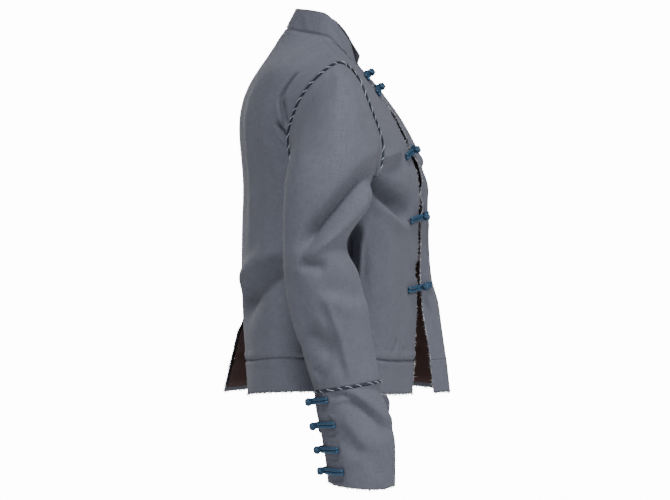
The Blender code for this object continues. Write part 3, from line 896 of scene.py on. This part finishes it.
# Cuffs: deep cotton cuffs, corded to the sleeve at the top and raw at the bottom. The back edge is open,
# with an underlap behind a stepped edge, and closed by frogs.
CUFF_OPENING = 0.80
CUFF_EDGE_GAP = 0.006
CUFF_FRONT_IN = 7
CUFF_CORNER_RISE = 6
CUFF_FLAT = (0.305, 0.142)
CUFF_SEAM_FADE = 8
CUFF_WAVE = 1.6
STEP_DEPTH = 1.3
STEP_WIDTH = 1.6
STEP_REACH = 34
STEP_GIRTH = 307
CUFF = [
    # z, centre_x, centre_y, half_x, half_y, tilt
    (-512, 225, -54.8, 43.4, 47.9, -0.16),
    (-545, 224, -63, 45, 52.5, -0.10),
    (-588, 222, -70, 45, 52, 0.00),
    (-626, 220, -73, 44, 49, 0.05),
    (-654, 219, -74, 43, 47, 0.06),
]
CUFF_FOLDS = [
    # start_y, start_z, end_y, end_z, bow, width, depth, lip: y on the right arm
    (-34, -527, -60, -521, -2, 4, 3.2, 0.6),
    (-54, -523, -116, -577, -3, 7, 7, -0.6),
    (-44, -566, -80, -606, 2, 9, 5, -0.4),
    (-90, -600, -108, -640, 0, 10, 1.8, 0.4),
    (-28, -545, -42, -549, 0, 2.4, 1.1, 0.5),
    (-28, -580, -44, -576, 0, 2.6, 1.2, -0.5),
    (-30, -592, -45, -590, 0, 2.2, 0.9, 0.5),
    (-32, -616, -48, -612, 0, 2.5, 1.1, 0.5),
    (-34, -644, -50, -640, 0, 2.6, 0.9, 0.4),
]
CUFF_HEIGHT = CUFF[0][0] - CUFF[-1][0]
STEP_EDGE = [
    # z, around
    (-656, 0.945),
    (-622, 0.925),
    (-570, 0.915),
    (-530, 0.875),
    (-512, 0.87),
]


def cuff_around(u):
    return CUFF_OPENING + CUFF_EDGE_GAP / 2 + u * (1 - CUFF_EDGE_GAP)


def cuff_form(side):
    def form(u, v):
        around = cuff_around(u)
        z = CUFF[0][0] - CUFF_HEIGHT * v
        points = ring_form(side, CUFF, z, around)
        ahead = np.sin(around * 2 * math.pi)
        points[:, 1] += CUFF_FRONT_IN * np.maximum(ahead, 0) ** 2 * fade(v, 0.05) * (1 - fade(v - 0.1, 0.45))
        points[:, 2] += CUFF_CORNER_RISE * np.abs(ahead) ** 5 * fade(v - 0.8, 0.2)
        return points
    return form


def cuff_push(side):
    def push(u, v, points):
        y, z = points[..., 1], points[..., 2]
        if side == LEFT:
            y = y - smooth(LEFT_ARM_BACK, 1, z)
        around = cuff_around(u)
        out = np.cos(around * 2 * math.pi)
        behind = (smooth(STEP_EDGE, 1, z) - around) * STEP_GIRTH
        step = -STEP_DEPTH * fade(behind + STEP_WIDTH / 2, STEP_WIDTH) * (1 - fade(behind, STEP_REACH))
        wave = CUFF_WAVE * np.sin(around * 19) * np.sin(around * 7.3 + 1) * fade(v - 0.6, 0.4)
        pushed = fold_push(y, z, CUFF_FOLDS) * fade(out + 0.4, 0.6)
        return pushed * fade(v * CUFF_HEIGHT, CUFF_SEAM_FADE) + step + wave
    return push


for label, side in SIDES:
    name = "cuff_" + label
    piece, grid = cloth(name + "_cloth", columns=160, rows=72, form=cuff_form(side), push=cuff_push(side),
                        flat=CUFF_FLAT, flip=side == RIGHT)
    piece.data.materials.append(COTTON)
    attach(piece, "root")
    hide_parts(name)
    loose = fray(name + "_fray", grid[-1], grid[-4], spacing=0.8, seed=41)

# Piping: a cord of two twisted strands, one navy and one white, sewn into each armhole seam and each
# cuff seam, so that the white comes up as uneven dashes.
CORD_RADIUS = 1.85
STRAND_RADII = (1.6, 0.36)
TWIST_PITCH = 15
TWIST_UNEVEN = 0.006
CORD_POINTS = 760
SEAM_POINTS = 360
CORD_PROUD = 0.5
STRAND_SIDES = 6


def ring_frames(points):
    """Two ways square to a closed ring: one away from its middle, and one across that."""
    along = unit(np.roll(points, -1, axis=0) - np.roll(points, 1, axis=0))
    out = unit(points - points.mean(axis=0))
    out = unit(out - along * (out * along).sum(axis=-1, keepdims=True))
    return out, np.cross(along, out)


def spread_evenly(points, count):
    """A closed ring's points, moved to even spacing."""
    closed = np.vstack([points, points[:1]])
    walked = np.concatenate([[0], np.cumsum(np.linalg.norm(np.diff(closed, axis=0), axis=1))])
    places = np.linspace(0, walked[-1], count, endpoint=False)
    return np.stack([np.interp(places, walked, closed[:, axis]) for axis in range(3)], axis=-1), walked[-1]


def tubes(name, lines, radii, sides, closed):
    """Round strands along their lines, joined in one mesh; each takes the next material."""
    bm = bmesh.new()
    for number, (line, radius) in enumerate(zip(lines, radii)):
        if closed:
            along = unit(np.roll(line, -1, axis=0) - np.roll(line, 1, axis=0))
        else:
            along = unit(np.gradient(line, axis=0))
        guide = np.array([0.31, 0.17, 0.93]) + 0 * line
        across = unit(np.cross(along, guide))
        rise = np.cross(along, across)
        rings = []
        for point, one, two in zip(line, across, rise):
            ring = []
            for k in range(sides):
                angle = 2 * math.pi * k / sides
                spoke = one * math.cos(angle) + two * math.sin(angle)
                ring.append(bm.verts.new((point + radius * spoke) * MM))
            rings.append(ring)
        pairs = list(zip(rings, rings[1:]))
        if closed:
            pairs.append((rings[-1], rings[0]))
        for here, there in pairs:
            for k in range(sides):
                face = bm.faces.new((here[k], there[k], there[k - 1], here[k - 1]))
                face.material_index = number
        if not closed:
            bm.faces.new(rings[0])
            bm.faces.new(reversed(rings[-1]))
    bmesh.ops.recalc_face_normals(bm, faces=bm.faces)
    mesh = bpy.data.meshes.new(name)
    bm.to_mesh(mesh)
    bm.free()
    mesh.shade_smooth()
    return put(name, mesh)


def plain(name, colour, roughness, sheen):
    """One colour all over, as dyed thread or paint has."""
    material = bpy.data.materials.new(name)
    material.use_nodes = True
    shader = material.node_tree.nodes["Principled BSDF"]
    shader.inputs["Base Color"].default_value = (*colour, 1)
    shader.inputs["Roughness"].default_value = roughness
    shader.inputs["Sheen Weight"].default_value = sheen
    return material


NAVY = plain("navy_thread", (0.011, 0.018, 0.036), 0.6, 0.1)
WHITE = plain("white_thread", (0.62, 0.70, 0.82), 0.7, 0.2)


def twisted(name, ring):
    """Two strands wound round a closed line; the twist tightens and slackens along it."""
    points, length = spread_evenly(ring, CORD_POINTS)
    out, square = ring_frames(points)
    turns = round(length / TWIST_PITCH)
    share = np.arange(CORD_POINTS) / CORD_POINTS
    whole = 2 * math.pi * share
    uneven = 0.9 * np.sin(5 * whole) + 0.6 * np.sin(11 * whole + 2) + 0.35 * np.sin(23 * whole + 1)
    angle = 2 * math.pi * turns * (share + TWIST_UNEVEN * uneven)
    lines = []
    for start, radius in zip((0, math.pi), STRAND_RADII):
        reach = CORD_RADIUS - radius
        turned = np.cos(angle + start)[:, None] * out + np.sin(angle + start)[:, None] * square
        lines.append(points + turned * reach)
    piece = tubes(name, lines, STRAND_RADII, STRAND_SIDES, True)
    piece.data.materials.append(NAVY)
    piece.data.materials.append(WHITE)
    return piece


for label, side in SIDES:
    around = np.linspace(0, 1, SEAM_POINTS, endpoint=False)
    seam = armhole_point(side, around) + armhole_way(side, around) * (SEAM_REACH / 2)
    seam += body_normal(side, *armhole_place(around)) * CORD_PROUD
    wrist = ring_form(side, CUFF, (SLEEVE_END_Z + CUFF[0][0]) / 2 + 0 * around, around)
    for name, ring in (("piping_armhole_" + label, seam), ("piping_cuff_" + label, wrist)):
        piece = twisted(name + "_cord", ring)
        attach(piece, "root")
        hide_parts(name)

# Lining: dark brown plain cloth inside the body, sewn in at the neck and seams. It is set back a little
# from the open edges and stops just above the hem.
LINING_DEPTH = 4.4
LINING_ARMHOLE_EXTRA = 3.5
LINING_ARMHOLE_FROM = 0.7
LINING_ARMHOLE_FADE = 0.15
LINING_WALL = 0.6
LINING_WAVE = 0.5
LINING_ROWS = slice(2, -4, 3)
LINING_COLUMNS = slice(3, None, 2)
LINING = woven("lining", (0.056, 0.028, 0.025), 0.75, 0.5, 0.2, 0.03)


def inside(name, side, back):
    """Points under a panel and its band, at every third row and second column of their own grids."""
    cotton, band = grids[name], band_grids[name]
    u, v = np.meshgrid((np.arange(PANEL_COLUMNS + 1) / PANEL_COLUMNS) ** CENTRE_CROWDING,
                       np.arange(PANEL_ROWS + 1) / PANEL_ROWS)
    across, z = panel(side, back, u.ravel(), v.ravel(), band_top)
    out = body_normal(side, panel_turn(back, across, z), z).reshape(cotton.shape)
    out = np.vstack([np.repeat(out[:1], BAND_ROWS, axis=0), out])
    rows = np.vstack([band[:-1], cotton])
    wave = LINING_WAVE * np.sin(rows[..., 2] / 13) * np.sin(rows[..., 0] / 11)
    deeper = LINING_ARMHOLE_EXTRA * fade(u[0] - LINING_ARMHOLE_FROM, LINING_ARMHOLE_FADE)
    under = rows - out * (LINING_DEPTH + deeper + wave)[..., None]
    return under[LINING_ROWS, LINING_COLUMNS]


for name, side, back, _, _, area in PANELS:
    flat = (0.255, 0.515) if back else (0.258, 0.500)
    under = inside(name, side, back)
    piece, _ = cloth("lining_" + name + "_cloth", under.shape[1] - 1, under.shape[0] - 1,
                     lambda u, v: under.reshape(-1, 3), no_push, flat, (side == RIGHT) != back,
                     wall=LINING_WALL)
    piece.data.materials.append(LINING)
    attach(piece, "root")
    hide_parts("lining_" + name)

# Front frogs: a loop of round satin cord sewn to the right front and a ball knot, tied in the same cord,
# whose tails are sewn to the left front. Each loop is fastened over its knot.
FROG_RADIUS = 2.4
FROG_SIDES = 14
HALF_GAP = FROG_RADIUS + 0.1
FRONT_LOOP = 44
LOOP_LIFT = 2.4
TAIL_LENGTH = 26
TAIL_INTO_KNOT = 1.6
KNOT_RADIUS = 5.8
KNOT_STRAND = KNOT_RADIUS * 0.34
KNOT_CORE = KNOT_RADIUS * 0.72
KNOT_AT = KNOT_RADIUS * 0.35
KNOT_HEIGHT = FROG_RADIUS + KNOT_RADIUS + 2.2
KNOT_SIDES = 10
KNOT_POINTS = 150
FRONT_FROGS = [
    # z, rise
    (-56, 6),
    (-78, 7),
    (-170, 9),
    (-267, 6),
    (-372, 4),
]


def satin():
    """Petrol blue satin cord: fine wound threads as bump, with a painted highlight: the raised threads are
    coloured a lighter blue.
    """
    material = bpy.data.materials.new("frog_cord")
    material.use_nodes = True
    nodes, links = material.node_tree.nodes, material.node_tree.links
    place = nodes.new("ShaderNodeTexCoord")
    winding = nodes.new("ShaderNodeTexNoise")
    winding.inputs["Scale"].default_value = 900
    winding.inputs["Detail"].default_value = 2
    # Painted highlight: the same noise that raises the threads picks the colour, so the highest threads get
    # the lighter blue.
    tone_and_painted_highlight = nodes.new("ShaderNodeValToRGB")
    tone_and_painted_highlight.color_ramp.elements[0].position = 0.35
    tone_and_painted_highlight.color_ramp.elements[0].color = (0.016, 0.052, 0.108, 1)
    tone_and_painted_highlight.color_ramp.elements[1].position = 0.70
    tone_and_painted_highlight.color_ramp.elements[1].color = (0.045, 0.115, 0.200, 1)
    relief = nodes.new("ShaderNodeBump")
    relief.inputs["Strength"].default_value = 0.3
    relief.inputs["Distance"].default_value = 0.15 * MM
    links.new(place.outputs["Object"], winding.inputs["Vector"])
    links.new(winding.outputs["Fac"], tone_and_painted_highlight.inputs["Fac"])
    links.new(winding.outputs["Fac"], relief.inputs["Height"])
    shader = nodes["Principled BSDF"]
    links.new(tone_and_painted_highlight.outputs["Color"], shader.inputs["Base Color"])
    links.new(relief.outputs["Normal"], shader.inputs["Normal"])
    shader.inputs["Roughness"].default_value = 0.4
    shader.inputs["Specular IOR Level"].default_value = 0.4
    return material


SATIN = satin()


def hairpin(length, half_gap):
    """A flat hairpin (along, across): out on one side, round the bend and back on the other."""
    out = np.stack([np.linspace(0, length, 18), np.full(18, half_gap)], axis=-1)
    angle = np.linspace(0, math.pi, 14)[1:-1]
    bend = np.stack([length + half_gap * np.sin(angle), half_gap * np.cos(angle)], axis=-1)
    return np.vstack([out, bend, out[::-1] * np.array([1, -1])])


def frog_loop(name, lay, loop_length, sway):
    """A hairpin of cord that sways a little on the cloth and lifts round the knot's neck."""
    pin = hairpin(loop_length - HALF_GAP - 1, HALF_GAP)
    lift = LOOP_LIFT * fade(pin[:, 0] - loop_length + 16, 10)
    drift = sway * np.sin(pin[:, 0] / 13)
    line = lay(pin[:, 0] - loop_length, pin[:, 1] + drift, FROG_RADIUS + lift)
    return tubes(name + "_loop_cord", [line], [FROG_RADIUS], FROG_SIDES, False)


def frog_tails(name, lay):
    """The knot's two tails, which lie on the cloth and climb into the ball."""
    pin = hairpin(TAIL_LENGTH, HALF_GAP)
    climb = fade(pin[:, 0] - TAIL_LENGTH * 0.6, TAIL_LENGTH * 0.4)
    height = FROG_RADIUS + (KNOT_HEIGHT - TAIL_INTO_KNOT - FROG_RADIUS) * climb
    line = lay(KNOT_AT + FROG_RADIUS + TAIL_LENGTH - pin[:, 0], pin[:, 1], height)
    return tubes(name + "_tail", [line], [FROG_RADIUS], FROG_SIDES, False)


def frog_knot(name, lay):
    """A ball knot: a strand wound three times round a core as it weaves up and down, and the tails."""
    step, zero = 4, np.zeros(1)
    middle = lay(zero + KNOT_AT, zero, zero + KNOT_HEIGHT)[0]
    up = unit(lay(zero + KNOT_AT, zero, zero + KNOT_HEIGHT + step)[0] - middle)
    along = unit(lay(zero + KNOT_AT + step, zero, zero + KNOT_HEIGHT)[0] - middle)
    across = np.cross(up, along)
    t = np.linspace(0, 2 * math.pi, KNOT_POINTS, endpoint=False)
    tilt = 1.08 * np.sin(4 * t)
    reach = KNOT_RADIUS - KNOT_STRAND + 0.35 * np.cos(8 * t + 0.8)
    wound = (np.cos(3 * t) * np.cos(tilt) * reach)[:, None] * along
    wound += (np.sin(3 * t) * np.cos(tilt) * reach)[:, None] * across
    wound += (np.sin(tilt) * reach)[:, None] * up
    knot = tubes(name + "_knot_cord", [middle + wound], [KNOT_STRAND], KNOT_SIDES, True)
    bm = bmesh.new()
    bm.from_mesh(knot.data)
    core = bmesh.ops.create_uvsphere(bm, u_segments=20, v_segments=12, radius=KNOT_CORE * MM)
    bmesh.ops.translate(bm, verts=core["verts"], vec=middle * MM)
    tails = frog_tails(name, lay)
    bm.from_mesh(tails.data)
    bpy.data.objects.remove(tails)
    bm.to_mesh(knot.data)
    bm.free()
    knot.data.shade_smooth()
    return knot


def frog(name, lay, loop_length, sway):
    """A loop and its knot; lay(along, across, height) puts points on the cloth."""
    loop = frog_loop(name, lay, loop_length, sway)
    knot = frog_knot(name, lay)
    for piece, node in ((loop, name + "_loop"), (knot, name + "_knot")):
        piece.data.materials.append(SATIN)
        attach(piece, "root")
        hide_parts(node)


def front_lay(z, rise):
    """Lay a frog across the front, from the right front over to the left."""
    def lay(along, across, height):
        level = z + across + rise * along / FRONT_LOOP
        turn = turn_at_x(False, along, level)
        laid = []
        for side in (RIGHT, LEFT):
            lifted = body_normal(side, turn, level) * np.expand_dims(height, -1)
            laid.append(body_form(side, turn, level) + lifted)
        return np.where((along < 0)[:, None], laid[0], laid[1])
    return lay


for number, (z, rise) in enumerate(FRONT_FROGS, 1):
    frog(f"front_frog_{number}", front_lay(z, rise), FRONT_LOOP, 0.6 * math.sin(number * 2.3))

# Cuff frogs: four of the same satin frogs over the back opening of each cuff, with the loop sewn on one
# side of the opening and the knot on the other.
CUFF_FROGS = [
    # z, loop length
    (-525, 33),
    (-562, 37),
    (-600, 36),
    (-632, 40),
]
CUFF_GIRTH = 2 * math.pi * 49


def cuff_lay(side, z):
    """Lay a frog round the cuff, across its opening."""
    def lay(along, across, height):
        around = CUFF_OPENING - along / CUFF_GIRTH
        level = z + across
        point = ring_form(side, CUFF, level, around)
        ahead = ring_form(side, CUFF, level, around + 0.01) - point
        above = ring_form(side, CUFF, level + 3, around) - point
        return point + unit(np.cross(ahead, above)) * -side * np.expand_dims(height, -1)
    return lay


for label, side in SIDES:
    for number, (z, loop_length) in enumerate(CUFF_FROGS, 1):
        sway = 0.6 * math.sin(number * 1.7 + side)
        frog(f"cuff_{label}_frog_{number}", cuff_lay(side, z), loop_length, sway)

# The stage: a pale painted floor under the hanging jacket, a white surround that gives little light, and
# four soft lights, from above, from the front, from the far side and, weakly, from behind.
FLOOR_Z = -1.1
FLOOR_REACH = 3
SURROUND_LIGHT = 0.06
SURROUND_SEEN = 14
LAMPS = [
    # name, place, aim height, power in watts, size
    ("top_light", (-4.0, 0.0, 4.9), -0.3, 285, 1.5),
    ("front_light", (-2.7, -4.9, 3.6), -0.35, 262, 1.8),
    ("far_light", (4.4, 2.6, 0.7), -0.35, 90, 1.8),
    ("back_light", (-2.0, 2.4, 0.9), -0.4, 11, 1.4),
]

floor_mesh = bpy.data.meshes.new("floor")
bm = bmesh.new()
bmesh.ops.create_grid(bm, x_segments=1, y_segments=1, size=FLOOR_REACH)
bmesh.ops.translate(bm, verts=bm.verts, vec=(0, 0, FLOOR_Z))
bm.to_mesh(floor_mesh)
bm.free()
floor = put("floor", floor_mesh)
floor_mesh.materials.append(plain("floor_paint", (0.92, 0.92, 0.92), 0.9, 0))

world = bpy.data.worlds.new("surround")
bpy.context.scene.world = world
world.use_nodes = True
sky = world.node_tree.nodes["Background"]
sky.inputs["Color"].default_value = (1, 1, 1, 1)
path = world.node_tree.nodes.new("ShaderNodeLightPath")
level = world.node_tree.nodes.new("ShaderNodeMapRange")
level.inputs["To Min"].default_value = SURROUND_LIGHT
level.inputs["To Max"].default_value = SURROUND_SEEN
world.node_tree.links.new(path.outputs["Is Camera Ray"], level.inputs["Value"])
world.node_tree.links.new(level.outputs["Result"], sky.inputs["Strength"])

for name, place, aim_z, power, size in LAMPS:
    light = bpy.data.lights.new(name, "AREA")
    light.energy = power
    light.size = size
    lamp = put(name, light)
    lamp.location = place
    lamp.rotation_euler = (Vector((0, 0, aim_z)) - Vector(place)).to_track_quat("-Z", "Y").to_euler()

# The camera: level with the jacket's middle, off the wearer's right side and a little to the front. A
# pixel of the 670 pixel wide picture is 1.5 mm on the jacket's middle plane.
CAMERA_AZIMUTH = math.radians(-84)
CAMERA_AWAY = 4.5
CAMERA_Z = -0.3165
SENSOR_WIDTH = 36
PICTURE_WIDTH = 670
PIXEL = 1.5 * MM
ORIGIN_COLUMN = 326

camera_data = bpy.data.cameras.new("camera")
camera = put("camera", camera_data)
bpy.context.scene.camera = camera
away = Vector((math.sin(CAMERA_AZIMUTH), -math.cos(CAMERA_AZIMUTH), 0))
camera.location = Vector((0, 0, CAMERA_Z)) + away * CAMERA_AWAY
camera.rotation_euler = (-away).to_track_quat("-Z", "Y").to_euler()
camera_data.sensor_width = SENSOR_WIDTH
camera_data.lens = SENSOR_WIDTH * CAMERA_AWAY / (PICTURE_WIDTH * PIXEL)
camera_data.shift_x = (PICTURE_WIDTH / 2 - ORIGIN_COLUMN) / PICTURE_WIDTH
camera_data.clip_end = 100
